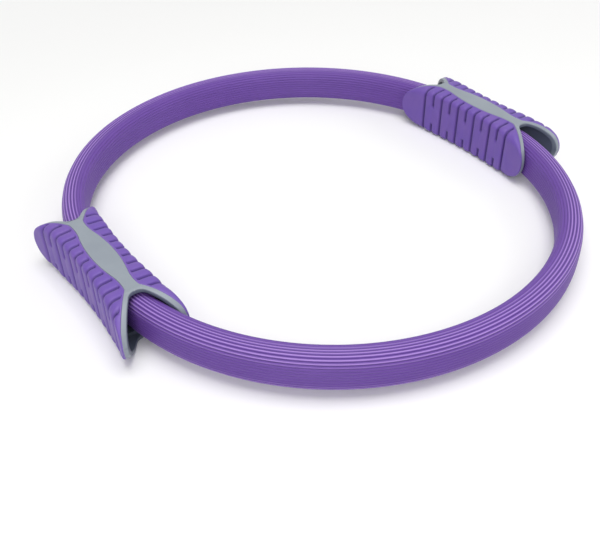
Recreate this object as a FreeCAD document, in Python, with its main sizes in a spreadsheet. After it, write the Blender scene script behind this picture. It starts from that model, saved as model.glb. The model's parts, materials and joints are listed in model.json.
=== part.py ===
import FreeCAD, Part
import Sketcher
import math
import os

# A pilates ring: a flexible hoop of three glass-fibre strips in ridged foam sleeves,
# held at two opposite places in X-shaped plastic grips with soft rubber pads.
# Frame: origin at the middle of the hoop, grips on the X axis, hoop flat in the XY plane.

# Driving dimensions in millimetres, and counts.
SIZES = {
    "hoopRadius": 168.0,     # middle of the strips, on the round stretches
    "clampStraight": 32.0,   # straight stretch of the hoop inside each grip
    "stripThick": 1.8,
    "stripTall": 18.0,
    "stripGap": 0.15,        # play between neighbouring strips
    "stripButt": 2.0,        # gap where the two ends of one strip meet
    "foamWide": 17.4,
    "foamTall": 26.6,
    "foamSquareness": 3.3,   # exponent of the rounded section, 2 is an ellipse
    "foamRidges": 34,
    "ridgeDeep": 0.5,
    "boreClear": 0.3,        # strip to sleeve
    "sleeveIn": 32.0,        # how far a sleeve reaches into a grip
    "sleeveClear": 0.5,      # sleeve to grip
    "gripHalf": 68.0,        # half the grip's length
    "gripRoof": 5.7,         # wall above and below the sleeves
    "mouthWall": 3.0,        # wall under the rim of a notch and round the grip's end
    "mouthLead": 3.0,        # the wall thins this far before the notch
    "endWall": 2.65,         # wall beside the sleeves at the very end of a shell
    "padBacking": 2.5,       # screw head to the pad's bed, half way along
    "endSquat": 3.0,         # half the height less the rounding at the end, seen from the side
    "endRun": 7.5,           # flat top to the middle of that rounding
    "bevelAngle": 7.0,       # fall of a pad's top and bottom towards its face, in degrees
    "bevelDrop": 0.9,        # height of that fall
    "shoulderRound": 4.0,    # rounding from the pad's face to its top and bottom
    "padThick": 2.5,
    "padEdge": 0.9,          # pad beside a leg, at the grip's very end
    "outerGrooves": 7,       # long grooves across an outer pad
    "innerGrooves": 6,       # long grooves across an inner pad
    "groovePitch": 18.0,
    "grooveWide": 1.8,
    "grooveDeep": 1.2,
    "grooveStart": 9.0,      # split plane to a groove's end on the top
    "grooveRim": 1.5,        # leg to a groove's end, beside a notch
    "shortTop": 6.0,         # middle plane to the foot of a short groove at the top
    "shortBottom": 9.5,      # and at the bottom
    "spineBulge": 2.8,       # swell of the spine half way along
    "spineHalf": 5.0,        # half width where the swell ends
    "spineRun": 26.0,        # half length of the swell
    "neckHollow": 0.6,       # hollow of the neck beside the swell
    "notchDeep": 23.0,       # notch between two legs, from the end of the grip
    "notchRadius": 7.0,
    "notchEase": 1.3,        # notch past the pocket, at the grip's end
    "legLead": 4.0,          # a leg leaves the neck this far before the notch
    "legEnd": 4.0,           # a leg meets the end of the pad this far from the grip's end
    "rimWide": 3.6,          # leg width, across the grip
    "slotClear": 0.3,        # strip to slot
    "plateThick": 2.5,
    "plateClear": 0.1,       # clamp plate to strip
    "plateRound": 2.0,
    "screwIn": 11.5,         # screw to the end of the sleeve's pocket, along the hoop
    "screwAbove": 3.2,       # screw to the edge of the strips
    "seatWall": 2.55,        # wall between a clamp plate and a screw head or nut
    "shankRadius": 1.5,
    "shankClear": 0.25,
    "headRadius": 2.75,
    "headTall": 3.0,
    "socketRadius": 1.44,    # to the corners
    "socketDeep": 1.3,
    "nutRadius": 3.18,       # to the corners
    "nutTall": 2.4,
    "recessClear": 0.4,      # round a screw head or nut
}
OUTLINE_STEPS = 4000         # fine steps that measure the way round the foam's section
SHOULDER_TURN = 180          # degrees turned per half length over bow, where 115 just spans the face

DOC = FreeCAD.newDocument("PilatesRing")
SHEET = DOC.addObject("Spreadsheet::Sheet", "Sizes")


class Dim:
    # A size that carries its number and the sheet expression it comes from.

    def __init__(self, value, text):
        self.value = value
        self.text = text

    def __add__(self, other):
        return combine(self, "+", other, self.value + number(other))

    def __sub__(self, other):
        return combine(self, "-", other, self.value - number(other))

    def __mul__(self, other):
        return combine(self, "*", other, self.value * number(other))

    def __truediv__(self, other):
        return combine(self, "/", other, self.value / number(other))

    def __neg__(self):
        return Dim(-self.value, "(-1 * %s)" % self.text)


def number(size):
    return size.value if isinstance(size, Dim) else float(size)


def words(size):
    return size.text if isinstance(size, Dim) else repr(float(size))


def combine(left, sign, right, value):
    return Dim(value, "(%s %s %s)" % (words(left), sign, words(right)))


def root(size):
    return Dim(math.sqrt(size.value), "sqrt(%s)" % size.text)


def trig(function, angle):
    # The sine, cosine or tangent of an angle in degrees.
    value = getattr(math, function)(math.radians(angle.value))
    return Dim(value, "%s(%s)" % (function, angle.text))


def fillSheet():
    for row, (name, value) in enumerate(SIZES.items(), start=1):
        SHEET.set("A%d" % row, name)
        SHEET.set("B%d" % row, str(value))
        SHEET.setAlias("B%d" % row, name)
    DOC.recompute()
    return {name: Dim(float(SHEET.get(name)), "Sizes." + name) for name in SIZES}


S = fillSheet()
ZERO = Dim(0.0, "0")


def bind(thing, prop, size):
    thing.setExpression(prop, words(size))


def place(thing, x=ZERO, y=ZERO, z=ZERO, turn=0.0, axis=(0, 0, 1)):
    spot = FreeCAD.Vector(number(x), number(y), number(z))
    thing.Placement = FreeCAD.Placement(spot, FreeCAD.Rotation(FreeCAD.Vector(*axis), turn))
    for letter, size in zip("xyz", (x, y, z)):
        bind(thing, "Placement.Base." + letter, size)


# Sketches

def vector(corner):
    return FreeCAD.Vector(number(corner[0]), number(corner[1]), 0)


def bowRadius(start, end, rise):
    across = end[0] - start[0]
    along = end[1] - start[1]
    return ((across * across + along * along) / 4 + rise * rise) / (rise * 2)


def bowMiddle(start, end, radius, side):
    half = (end - start) * 0.5
    left = FreeCAD.Vector(-half.y, half.x, 0).normalize()
    rise = radius - math.sqrt(radius ** 2 - half.Length ** 2)
    return start + half + left * (rise * side)


def newSketch(body, role, name):
    sketch = body.newObject("Sketcher::SketchObject", name)
    plane = [item for item in body.Origin.OriginFeatures if item.Role == role][0]
    sketch.AttachmentSupport = [(plane, "")]
    sketch.MapMode = "FlatFace"
    return sketch


def endNear(sketch, edge, spot):
    gaps = [(sketch.getPoint(edge, end) - spot).Length for end in (1, 2)]
    return 1 if gaps[0] < gaps[1] else 2


def pinPoint(sketch, edge, point, spot):
    for kind, size in zip(("DistanceX", "DistanceY"), spot):
        limit = sketch.addConstraint(Sketcher.Constraint(kind, -1, 1, edge, point, number(size)))
        bind(sketch, "Constraints[%d]" % limit, size)


def addLoop(sketch, corners, bends=None):
    # A bend is (radius, side) for the edge after its corner, side 1 bulges to the left.
    bends = bends or {}
    edges = []
    for index, corner in enumerate(corners):
        start = vector(corner)
        end = vector(corners[(index + 1) % len(corners)])
        if index in bends:
            radius, side = bends[index]
            middle = bowMiddle(start, end, radius.value, side)
            edges.append(sketch.addGeometry(Part.Arc(start, middle, end)))
        else:
            edges.append(sketch.addGeometry(Part.LineSegment(start, end)))
    for index, corner in enumerate(corners):
        spot = vector(corner)
        here, before = edges[index], edges[index - 1]
        point = endNear(sketch, here, spot)
        sketch.addConstraint(Sketcher.Constraint(
            "Coincident", here, point, before, endNear(sketch, before, spot)))
        pinPoint(sketch, here, point, corner)
    for index, (radius, side) in bends.items():
        limit = sketch.addConstraint(Sketcher.Constraint("Radius", edges[index], radius.value))
        bind(sketch, "Constraints[%d]" % limit, radius)


def newBody(name):
    body = DOC.addObject("PartDesign::Body", name)
    body.AllowCompound = True
    return body


def grow(body, kind, sketch, length, symmetric):
    feature = body.newObject("PartDesign::" + kind, sketch.Name + kind)
    feature.Profile = sketch
    feature.SideType = "Symmetric" if symmetric else "One side"
    bind(feature, "Length", length)
    DOC.recompute()
    return feature


def prism(name, role, loops, length, symmetric=True):
    body = newBody(name)
    sketch = newSketch(body, role, name + "Outline")
    for corners, bends in loops:
        addLoop(sketch, corners, bends)
    grow(body, "Pad", sketch, length, symmetric)
    return body


def boolean(kind, name, base, tool):
    thing = DOC.addObject("Part::" + kind, name)
    thing.Base = base
    thing.Tool = tool
    return thing


def gather(kind, name, shapes):
    thing = DOC.addObject("Part::" + kind, name)
    setattr(thing, "Links" if kind == "Compound" else "Shapes", shapes)
    return thing


def box(name, halfX, halfY, halfZ):
    block = DOC.addObject("Part::Box", name)
    for prop, half in zip(("Length", "Width", "Height"), (halfX, halfY, halfZ)):
        bind(block, prop, half * 2)
    place(block, -halfX, -halfY, -halfZ)
    return block


def rod(name, radius, start, end, y, z):
    # A cylinder along X from start to end.
    bar = DOC.addObject("Part::Cylinder", name)
    bind(bar, "Radius", radius)
    bind(bar, "Height", end - start)
    place(bar, start, y, z, 90, (0, 1, 0))
    return bar


# Sizes that follow from the driving ones

def hoopDrop(along):
    # How far the hoop has curved in towards the middle of the ring.
    run = along - S["clampStraight"] / 2
    return S["hoopRadius"] - root(S["hoopRadius"] * S["hoopRadius"] - run * run)


PACK_HALF = S["stripThick"] * 1.5 + S["stripGap"]
STRIP_UP = S["stripTall"] / 2
POCKET_UP = S["foamTall"] / 2 + S["sleeveClear"]
GRIP_UP = POCKET_UP + S["gripRoof"]
SLEEVE_RUN = S["gripHalf"] - S["sleeveIn"] - S["clampStraight"] / 2
SLEEVE_CORNER = SLEEVE_RUN * (S["hoopRadius"] - S["foamWide"] / 2) / S["hoopRadius"]
POCKET_START = S["clampStraight"] / 2 + SLEEVE_CORNER - S["sleeveClear"]
POCKET_HALF = S["foamWide"] / 2 + hoopDrop(POCKET_START) + S["sleeveClear"]
MOUTH_HALF = S["foamWide"] / 2 + hoopDrop(S["gripHalf"]) + S["sleeveClear"]
END_HALF = MOUTH_HALF + S["endWall"] + S["padThick"]
PAST_END = S["gripHalf"] + S["padThick"]
NOTCH_AT = S["gripHalf"] - S["notchDeep"]
NOTCH_MOUTH = MOUTH_HALF + S["notchEase"]
SLOT_HALF = PACK_HALF + hoopDrop(POCKET_START) + S["slotClear"]
SLOT_UP = STRIP_UP + S["slotClear"]
PLATE_IN = PACK_HALF + S["plateClear"]
PLATE_OUT = PLATE_IN + S["plateThick"]
SCREW_SEAT = PLATE_OUT + S["seatWall"]
SCREW_ALONG = POCKET_START - S["screwIn"]
SCREW_UP = STRIP_UP + S["screwAbove"]
WAIST_HALF = SCREW_SEAT + S["headTall"] + S["padBacking"] + S["padThick"]
GRIP_FLARE = END_HALF - WAIST_HALF


# Hoop strips

def stadium(offset):
    radius = S["hoopRadius"] + offset
    half = S["clampStraight"] / 2
    corners = [(radius, half), (ZERO, half + radius), (-radius, half),
               (-radius, -half), (ZERO, -half - radius), (radius, -half)]
    return corners, {edge: (radius, -1) for edge in (0, 1, 3, 4)}


def makeStrip(name, offset, buttSide):
    half = S["stripThick"] / 2
    body = prism(name, "XY_Plane", [stadium(offset + half), stadium(offset - half)], S["stripTall"])
    cut = newSketch(body, "XY_Plane", name + "Butt")
    spot = (S["hoopRadius"] + offset) * buttSide
    reach = S["stripButt"] / 2
    addLoop(cut, [(spot - S["stripThick"], -reach), (spot + S["stripThick"], -reach),
                  (spot + S["stripThick"], reach), (spot - S["stripThick"], reach)])
    grow(body, "Pocket", cut, S["stripTall"] * 2, True)
    return body


# Foam sleeves

def foamOutline():
    # Points spaced evenly round the rounded section, at the feet of the ridges.
    wide = (S["foamWide"] / 2 - S["ridgeDeep"]).value
    tall = (S["foamTall"] / 2 - S["ridgeDeep"]).value
    power = 2.0 / S["foamSquareness"].value
    ridges = int(S["foamRidges"].value)
    spots = []
    for step in range(OUTLINE_STEPS + 1):
        angle = 2 * math.pi * step / OUTLINE_STEPS
        cosine, sine = math.cos(angle), math.sin(angle)
        spots.append((math.copysign(wide * abs(cosine) ** power, cosine),
                      math.copysign(tall * abs(sine) ** power, sine)))
    lengths = [0.0]
    for first, second in zip(spots, spots[1:]):
        lengths.append(lengths[-1] + math.dist(first, second))
    pitch = lengths[-1] / ridges
    feet = []
    for spot, length in zip(spots, lengths):
        if length >= pitch * len(feet) and len(feet) < ridges:
            feet.append(spot)
    return feet


def foamSection():
    out = S["hoopRadius"].value
    feet = [FreeCAD.Vector(out + x, 0, z) for x, z in foamOutline()]
    ridges = []
    for start, end in zip(feet, feet[1:] + feet[:1]):
        chord = end - start
        away = FreeCAD.Vector(chord.z, 0, -chord.x).normalize()
        middle = (start + end) * 0.5 + away * S["ridgeDeep"].value
        ridges.append(Part.Arc(start, middle, end).toShape())
    across = (PACK_HALF + S["boreClear"]).value
    up = (STRIP_UP + S["boreClear"]).value
    corners = [FreeCAD.Vector(out + x, 0, z)
               for x, z in ((-across, -up), (across, -up), (across, up), (-across, up))]
    bore = Part.Face(Part.makePolygon(corners + corners[:1]))
    return Part.Face(Part.Wire(ridges)).cut(bore).Faces[0]


def makeSleeve(name, turn, side):
    lead = math.degrees(math.asin((SLEEVE_RUN / S["hoopRadius"]).value))
    sleeve = DOC.addObject("Part::Feature", name)
    sleeve.Shape = foamSection().revolve(FreeCAD.Vector(), FreeCAD.Vector(0, 0, 1), 180 - 2 * lead)
    place(sleeve, y=S["clampStraight"] / 2 * side, turn=turn + lead)
    return sleeve


# Grips: one half in its own frame, X away from the split plane and Y along the hoop

def sideOutline(inset):
    # Flat top and bottom, and ends of one small arc between two larger ones.
    end = GRIP_UP - S["endSquat"]
    run = S["endRun"]
    flat = S["gripHalf"] - end - run
    top = (run * run + GRIP_UP * GRIP_UP - end * end) / (S["endSquat"] * 2)
    small, large = end - inset, top - inset
    joinY = S["gripHalf"] - end + small * run / (top - end)
    joinZ = small * (top - GRIP_UP) / (top - end)
    high = GRIP_UP - inset
    corners = [(flat, high), (joinY, joinZ), (joinY, -joinZ), (flat, -high),
               (-flat, -high), (-joinY, -joinZ), (-joinY, joinZ), (-flat, high)]
    return corners, {0: (large, 1), 1: (small, 1), 2: (large, 1),
                     4: (large, 1), 5: (small, 1), 6: (large, 1)}


def gripBlank(name, inset):
    # The round-ended side view, hollowed along its face by one long arc.
    body = prism(name, "YZ_Plane", [sideOutline(inset)], END_HALF - inset, False)
    half = S["gripHalf"]
    near, far = END_HALF - inset, END_HALF * 2
    bow = bowRadius((near, -half), (near, half), GRIP_FLARE)
    hollow = newSketch(body, "XY_Plane", name + "Hollow")
    addLoop(hollow, [(near, -half), (far, -half), (far, half), (near, half)], {3: (bow, -1)})
    grow(body, "Pocket", hollow, GRIP_UP * 4, True)
    roundShoulders(body, inset, bow)
    return body


def roundShoulders(body, inset, bow):
    # Turn away the long corners of the face, about the centre of its hollow: a slight fall from
    # the top or bottom, and an arc from there to the face.
    face, high = WAIST_HALF - inset, GRIP_UP - inset
    slope = S["bevelAngle"]
    bend = S["shoulderRound"] - inset
    turn = trig("tan", -slope / 2 + 45)
    reach = bend * turn
    past = S["shoulderRound"]
    sketch = newSketch(body, "XZ_Plane", body.Name + "Shoulders")
    low = GRIP_UP - S["bevelDrop"] - inset * turn
    start = WAIST_HALF - S["bevelDrop"] / trig("tan", slope) - inset * trig("tan", slope / 2)
    corners = [(face, low - reach), (face + past, low - reach), (face + past, high + past),
               (start, high + past), (start, high),
               (face - reach * trig("cos", slope), low + reach * trig("sin", slope))]
    for side in (1, -1):
        addLoop(sketch, [(x, z * side) for x, z in corners], {5: (bend, side)})
    centre = face + bow
    ends = [(centre, ZERO), (centre, high)]
    axis = sketch.addGeometry(Part.LineSegment(*[vector(end) for end in ends]), True)
    for point, end in enumerate(ends, start=1):
        pinPoint(sketch, axis, point, end)
    groove = body.newObject("PartDesign::Groove", body.Name + "Groove")
    groove.Profile = sketch
    groove.ReferenceAxis = (sketch, ["Axis0"])
    groove.Midplane = True
    bind(groove, "Angle", S["gripHalf"] / bow * SHOULDER_TURN)
    DOC.recompute()


def notchTouch():
    # Where the straight side of the notch leaves its round foot.
    reach, radius = NOTCH_MOUTH, S["notchRadius"]
    run = S["notchDeep"] - radius
    square = reach * reach + run * run
    near = radius * radius / square
    far = radius * root(square - radius * radius) / square
    return reach * near + run * far, NOTCH_AT + radius + run * near - reach * far


def notchHalf(along):
    touchX, touchY = notchTouch()
    slope = (NOTCH_MOUTH - touchX) / (S["gripHalf"] - touchY)
    return touchX + slope * (along - touchY)


def legHalf(along):
    return notchHalf(along) + S["rimWide"]


def makeSpine():
    farAlong = S["gripHalf"] - S["legEnd"]
    startAlong = NOTCH_AT - S["legLead"]
    end = (END_HALF - S["padEdge"], S["gripHalf"])
    far = (legHalf(farAlong), farAlong)
    start = (legHalf(startAlong), startAlong)
    swell = (S["spineHalf"], S["spineRun"])
    back = [(x, -y) for x, y in (end, far, start, swell)]
    corners = [(ZERO, -S["gripHalf"])] + back + [swell, start, far, end, (ZERO, S["gripHalf"])]
    neck = bowRadius(swell, start, S["neckHollow"])
    bulge = bowRadius(back[3], swell, S["spineBulge"])
    return prism("SpinePlan", "XY_Plane",
                 [(corners, {3: (neck, 1), 4: (bulge, -1), 5: (neck, 1)})], GRIP_UP * 2)


def makeNotches():
    touchX, touchY = notchTouch()
    wide = notchHalf(PAST_END)
    loops = []
    for side in (1, -1):
        corners = [(x, y * side) for x, y in
                   ((touchX, touchY), (wide, PAST_END), (-wide, PAST_END), (-touchX, touchY),
                    (ZERO, NOTCH_AT))]
        foot = S["notchRadius"]
        loops.append((corners, {3: (foot, -side), 4: (foot, -side)}))
    return prism("Notches", "XY_Plane", loops, GRIP_UP * 4)


def makePockets(name, start, end, up):
    slope = (MOUTH_HALF - POCKET_HALF) / (S["gripHalf"] - POCKET_START)
    half = POCKET_HALF + slope * (start - POCKET_START)
    wide = POCKET_HALF + slope * (end - POCKET_START)
    loops = []
    for side in (1, -1):
        near, far = start * side, end * side
        loops.append(([(half, near), (wide, far), (-wide, far), (-half, near)], {}))
    return prism(name, "XY_Plane", loops, up * 2)


def makeMouths():
    # The pockets rise under the rims of the notches, and leave an even wall round the ends.
    rough = makePockets("MouthPlan", NOTCH_AT - S["mouthLead"], PAST_END, GRIP_UP)
    return boolean("Common", "Mouths", rough, gripBlank("MouthBlank", S["mouthWall"]))


def screwSpots():
    return [(SCREW_ALONG * along, SCREW_UP * up) for along in (1, -1) for up in (1, -1)]


def makeHoles(name, recess):
    holes = []
    for index, (y, z) in enumerate(screwSpots()):
        bore = S["shankRadius"] + S["shankClear"]
        holes.append(rod("%sHole%d" % (name, index), bore, -END_HALF, END_HALF, y, z))
        wide = recess + S["recessClear"]
        holes.append(rod("%sRecess%d" % (name, index), wide, SCREW_SEAT, END_HALF, y, z))
    return holes


def makeSlices(count):
    # Long grooves run all the way across a pad, short ones lie between them.
    slices = []
    past = GRIP_UP * 2
    last = int(count.value) - 1
    for step in range(2 * last + 1):
        along = S["groovePitch"] * (step - last) / 2
        start = S["grooveStart"]
        if abs(along.value) >= NOTCH_AT.value:
            start = legHalf(along if step > last else -along) + S["grooveRim"]
        spans = [(-past, past)]
        if step % 2:
            spans = [(S["shortTop"], past), (-past, -S["shortBottom"])]
        for low, high in spans:
            block = DOC.addObject("Part::Box", "Slice")
            bind(block, "Length", END_HALF)
            bind(block, "Width", S["grooveWide"])
            bind(block, "Height", high - low)
            place(block, start, along - S["grooveWide"] / 2, low)
            slices.append(block)
    return slices


def makePad(name, count, outside, bed, spine):
    slices = gather("Compound", name + "Slices", makeSlices(count))
    grooves = boolean("Cut", name + "Grooves", slices, gripBlank(name + "Floor", S["grooveDeep"]))
    rest = gather("MultiFuse", name + "Rest", [bed, spine, grooves])
    return boolean("Cut", name, outside, rest)


def makeShell(name, solid, hollows, recess):
    tools = gather("MultiFuse", name + "Hollows", hollows + makeHoles(name, recess))
    return boolean("Cut", name, solid, tools)


def makeForms():
    # The shapes that the halves of both grips share, each in a half's own frame.
    outside = gripBlank("PadBlank", ZERO)
    bed = gripBlank("BedBlank", S["padThick"])
    spine = makeSpine()
    raised = boolean("Common", "RaisedSpine", outside, spine)
    solid = boolean("Fuse", "ShellSolid", bed, raised)
    slot = box("StripSlot", SLOT_HALF, POCKET_START + S["slotClear"], SLOT_UP)
    seat = box("PlateSeat", PLATE_OUT, S["clampStraight"] / 2 + S["slotClear"], SLOT_UP)
    pockets = makePockets("Pockets", POCKET_START, NOTCH_AT, POCKET_UP)
    hollows = [makeNotches(), pockets, makeMouths(), slot, seat]
    return {"outer_pad": makePad("OuterPadForm", S["outerGrooves"], outside, bed, spine),
            "inner_pad": makePad("InnerPadForm", S["innerGrooves"], outside, bed, spine),
            "outer_shell": makeShell("OuterShellForm", solid, hollows, S["headRadius"]),
            "inner_shell": makeShell("InnerShellForm", solid, hollows, S["nutRadius"])}


def makePlate(name):
    half, up = S["clampStraight"] / 2, STRIP_UP
    body = newBody(name)
    sketch = newSketch(body, "YZ_Plane", name + "Outline")
    addLoop(sketch, [(-half, -up), (half, -up), (half, up), (-half, up)])
    sketch.AttachmentOffset = FreeCAD.Placement(FreeCAD.Vector(0, 0, PLATE_IN.value),
                                                FreeCAD.Rotation())
    bind(sketch, "AttachmentOffset.Base.z", PLATE_IN)
    pad = grow(body, "Pad", sketch, S["plateThick"], False)
    corners = ["Edge%d" % index for index, edge in enumerate(pad.Shape.Edges, start=1)
               if abs(edge.tangentAt(edge.FirstParameter).x) > 0.9]
    fillet = body.newObject("PartDesign::Fillet", name + "Round")
    fillet.Base = (pad, corners)
    bind(fillet, "Radius", S["plateRound"])
    return body


def makeScrews(name):
    screws = []
    end = -SCREW_SEAT - S["nutTall"]
    for index, (y, z) in enumerate(screwSpots()):
        tag = "%s%d" % (name, index)
        top = SCREW_SEAT + S["headTall"]
        shank = rod(tag + "Shank", S["shankRadius"], end, SCREW_SEAT, y, z)
        head = rod(tag + "Head", S["headRadius"], SCREW_SEAT, top, y, z)
        socket = DOC.addObject("Part::Prism", tag + "Socket")
        socket.Polygon = 6
        bind(socket, "Circumradius", S["socketRadius"])
        bind(socket, "Height", S["socketDeep"] * 2)
        place(socket, top - S["socketDeep"], y, z, 90, (0, 1, 0))
        blank = boolean("Fuse", tag + "Blank", shank, head)
        screws.append(boolean("Cut", tag + "Screw", blank, socket))
    return gather("Compound", name, screws)


def makeNuts(name):
    nuts = []
    for index, (y, z) in enumerate(screwSpots()):
        tag = "%s%d" % (name, index)
        start = -SCREW_SEAT - S["nutTall"]
        blank = DOC.addObject("Part::Prism", tag + "Hexagon")
        blank.Polygon = 6
        bind(blank, "Circumradius", S["nutRadius"])
        bind(blank, "Height", S["nutTall"])
        place(blank, start, y, z, 90, (0, 1, 0))
        bore = rod(tag + "Bore", S["shankRadius"], start, -SCREW_SEAT, y, z)
        nuts.append(boolean("Cut", tag + "Nut", blank, bore))
    return gather("Compound", name, nuts)


def makeGrip(side, away, forms):
    # away is 1 on the right and -1 on the left: the way out of the ring along X.
    pieces = {}
    for face, out in (("outer", away), ("inner", -away)):
        name = "%s_%s_" % (side, face)
        half = {name + "shell": gather("Compound", name + "shell", [forms[face + "_shell"]]),
                name + "pad": gather("Compound", name + "pad", [forms[face + "_pad"]]),
                name + "clamp_plate": makePlate(name + "clamp_plate")}
        for piece in half.values():
            place(piece, S["hoopRadius"] * away, turn=0 if out > 0 else 180)
        pieces.update(half)
    for kind, maker in (("clamp_screws", makeScrews), ("clamp_nuts", makeNuts)):
        node = "%s_%s" % (side, kind)
        pieces[node] = maker(node)
        place(pieces[node], S["hoopRadius"] * away, turn=0 if away > 0 else 180)
    return pieces


def makeRing():
    pitch = S["stripThick"] + S["stripGap"]
    nodes = {
        "hoop_strip_outer": makeStrip("hoop_strip_outer", pitch, -1),
        "hoop_strip_middle": makeStrip("hoop_strip_middle", ZERO, 1),
        "hoop_strip_inner": makeStrip("hoop_strip_inner", -pitch, -1),
        "back_foam_sleeve": makeSleeve("back_foam_sleeve", 0, 1),
        "front_foam_sleeve": makeSleeve("front_foam_sleeve", 180, -1),
    }
    forms = makeForms()
    nodes.update(makeGrip("left", -1, forms))
    nodes.update(makeGrip("right", 1, forms))
    DOC.recompute()
    return nodes


def checkRing(nodes):
    for thing in DOC.Objects:
        if "Invalid" in thing.State or "Error" in thing.State:
            raise RuntimeError("failed: " + thing.Name)
    for name, thing in nodes.items():
        if thing.Shape.isNull() or not thing.Shape.isValid() or not thing.Shape.Solids:
            raise RuntimeError("bad shape: " + name)


def exportRing(nodes):
    os.makedirs("parts", exist_ok=True)
    for name, thing in nodes.items():
        thing.Label = name
        thing.Shape.exportStep(os.path.join("parts", name + ".step"))
        size = thing.Shape.BoundBox
        print("%-24s %d solid, %9.1f mm3, x %.1f to %.1f, y %.1f to %.1f, z %.1f to %.1f" % (
            name, len(thing.Shape.Solids), thing.Shape.Volume,
            size.XMin, size.XMax, size.YMin, size.YMax, size.ZMin, size.ZMax))


NODES = makeRing()
checkRing(NODES)
exportRing(NODES)
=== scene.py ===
import json
import math

import bmesh
import bpy
import numpy as np
from mathutils import Matrix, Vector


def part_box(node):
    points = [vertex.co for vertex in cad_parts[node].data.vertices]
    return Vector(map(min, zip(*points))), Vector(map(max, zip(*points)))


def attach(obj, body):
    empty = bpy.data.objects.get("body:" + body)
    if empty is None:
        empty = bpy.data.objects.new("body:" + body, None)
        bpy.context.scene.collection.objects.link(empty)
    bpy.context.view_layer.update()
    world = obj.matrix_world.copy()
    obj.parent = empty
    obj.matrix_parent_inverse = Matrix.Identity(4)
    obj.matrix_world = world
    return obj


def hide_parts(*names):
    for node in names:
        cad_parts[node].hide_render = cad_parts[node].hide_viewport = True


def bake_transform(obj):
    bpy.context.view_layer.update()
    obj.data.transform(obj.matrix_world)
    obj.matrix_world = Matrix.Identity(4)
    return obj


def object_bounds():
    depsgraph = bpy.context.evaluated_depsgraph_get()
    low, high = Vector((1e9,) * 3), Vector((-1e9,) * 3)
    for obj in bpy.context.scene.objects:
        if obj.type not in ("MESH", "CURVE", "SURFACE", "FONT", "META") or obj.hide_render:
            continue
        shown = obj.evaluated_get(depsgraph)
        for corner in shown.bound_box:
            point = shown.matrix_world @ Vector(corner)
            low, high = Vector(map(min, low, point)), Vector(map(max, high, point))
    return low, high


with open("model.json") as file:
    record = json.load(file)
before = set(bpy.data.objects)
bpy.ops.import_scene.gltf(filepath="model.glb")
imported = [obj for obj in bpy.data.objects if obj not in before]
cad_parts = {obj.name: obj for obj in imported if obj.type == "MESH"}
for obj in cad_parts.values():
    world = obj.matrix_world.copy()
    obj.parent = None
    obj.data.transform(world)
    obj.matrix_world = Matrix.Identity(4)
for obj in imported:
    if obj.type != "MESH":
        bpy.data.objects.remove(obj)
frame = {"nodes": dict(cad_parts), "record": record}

# Pilates ring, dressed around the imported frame. Shapes are worked out in millimetres.
mm = 0.001
tiny = 1e-9      # keeps a division off zero
cadBox = [list(corner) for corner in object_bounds()]
hoopBody, farBody = "hoop_and_left_grip", "right_grip"
print("frame:", len(frame["nodes"]), "nodes")

stripLow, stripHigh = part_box("hoop_strip_middle")
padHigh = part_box("right_outer_pad")[1]
plateLow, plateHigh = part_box("right_outer_clamp_plate")

hoop = {
    "stripThick": 1.8,
    "stripPitch": 1.95,
    "stripTall": (stripHigh.z - stripLow.z) / mm,
    "clampHalf": (plateHigh.y - plateLow.y) / mm / 2,   # half the straight stretch in a grip
    "stripButt": 2.0,                                   # gap where a strip's two ends meet
}
hoop["radius"] = stripHigh.x / mm - hoop["stripThick"] / 2


def stackPoints(x, y, z):
    return np.stack(np.broadcast_arrays(x, y, z), -1)


def smoothStep(low, high, value):
    # 3 t^2 - 2 t^3, with t the share of the way from low to high
    share = np.clip((value - low) / (high - low), 0, 1)
    return share * share * (3 - 2 * share)


def meshFromGrid(name, grid, around, along, wrapRows=False, marks=None):
    # Rows of closed loops become quads. Open ends are capped, and the signed volume, a sixth of the
    # triple products added up, says whether the faces have to be turned round.
    rows, cols = grid.shape[:2]
    index = np.arange(rows * cols).reshape(rows, cols)
    here = index if wrapRows else index[:-1]
    ahead = np.roll(index, -1, 0) if wrapRows else index[1:]
    quads = np.stack([here, np.roll(here, -1, 1), np.roll(ahead, -1, 1), ahead], -1).reshape(-1, 4)
    points = grid.reshape(-1, 3) * mm
    a, b, c, d = (points[quads[:, corner]] for corner in range(4))
    volume = np.einsum("ij,ij->", a, np.cross(b, c)) + np.einsum("ij,ij->", a, np.cross(c, d))
    caps = [] if wrapRows else [index[0][::-1], index[-1]]
    u = np.stack([around[:-1], around[1:], around[1:], around[:-1]], -1)
    v = np.stack([along[:-1], along[:-1], along[1:], along[1:]], -1)
    uv = np.stack(np.broadcast_arrays(u[None], v[:, None]), -1).reshape(-1, 4, 2)
    if volume < 0:
        quads, uv = quads[:, ::-1], uv[:, ::-1]
        caps = [cap[::-1] for cap in caps]
    capUv = [np.tile(uv[0, 0], (len(cap), 1)) for cap in caps]
    corners = np.concatenate([quads.ravel()] + caps)
    starts = np.concatenate([np.arange(len(quads)) * 4,
                             len(quads) * 4 + np.arange(len(caps)) * cols])
    mesh = bpy.data.meshes.new(name)
    mesh.vertices.add(len(points))
    mesh.vertices.foreach_set("co", points.astype(np.float32).ravel())
    mesh.loops.add(len(corners))
    mesh.loops.foreach_set("vertex_index", corners.astype(np.int32))
    mesh.polygons.add(len(starts))
    mesh.polygons.foreach_set("loop_start", starts.astype(np.int32))
    mesh.polygons.foreach_set("use_smooth", np.ones(len(starts), bool))
    layer = mesh.uv_layers.new(name="surface")
    allUv = np.concatenate([uv.reshape(-1, 2)] + capUv) * mm
    layer.data.foreach_set("uv", allUv.astype(np.float32).ravel())
    for mark, values in (marks or {}).items():
        attribute = mesh.attributes.new(mark, "FLOAT", "POINT")
        attribute.data.foreach_set("value", values.astype(np.float32).ravel())
    mesh.update(calc_edges=True)
    return mesh


weld = {"merge": 0.001, "flat": 0.001}      # points this near become one, faces this thin go


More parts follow.
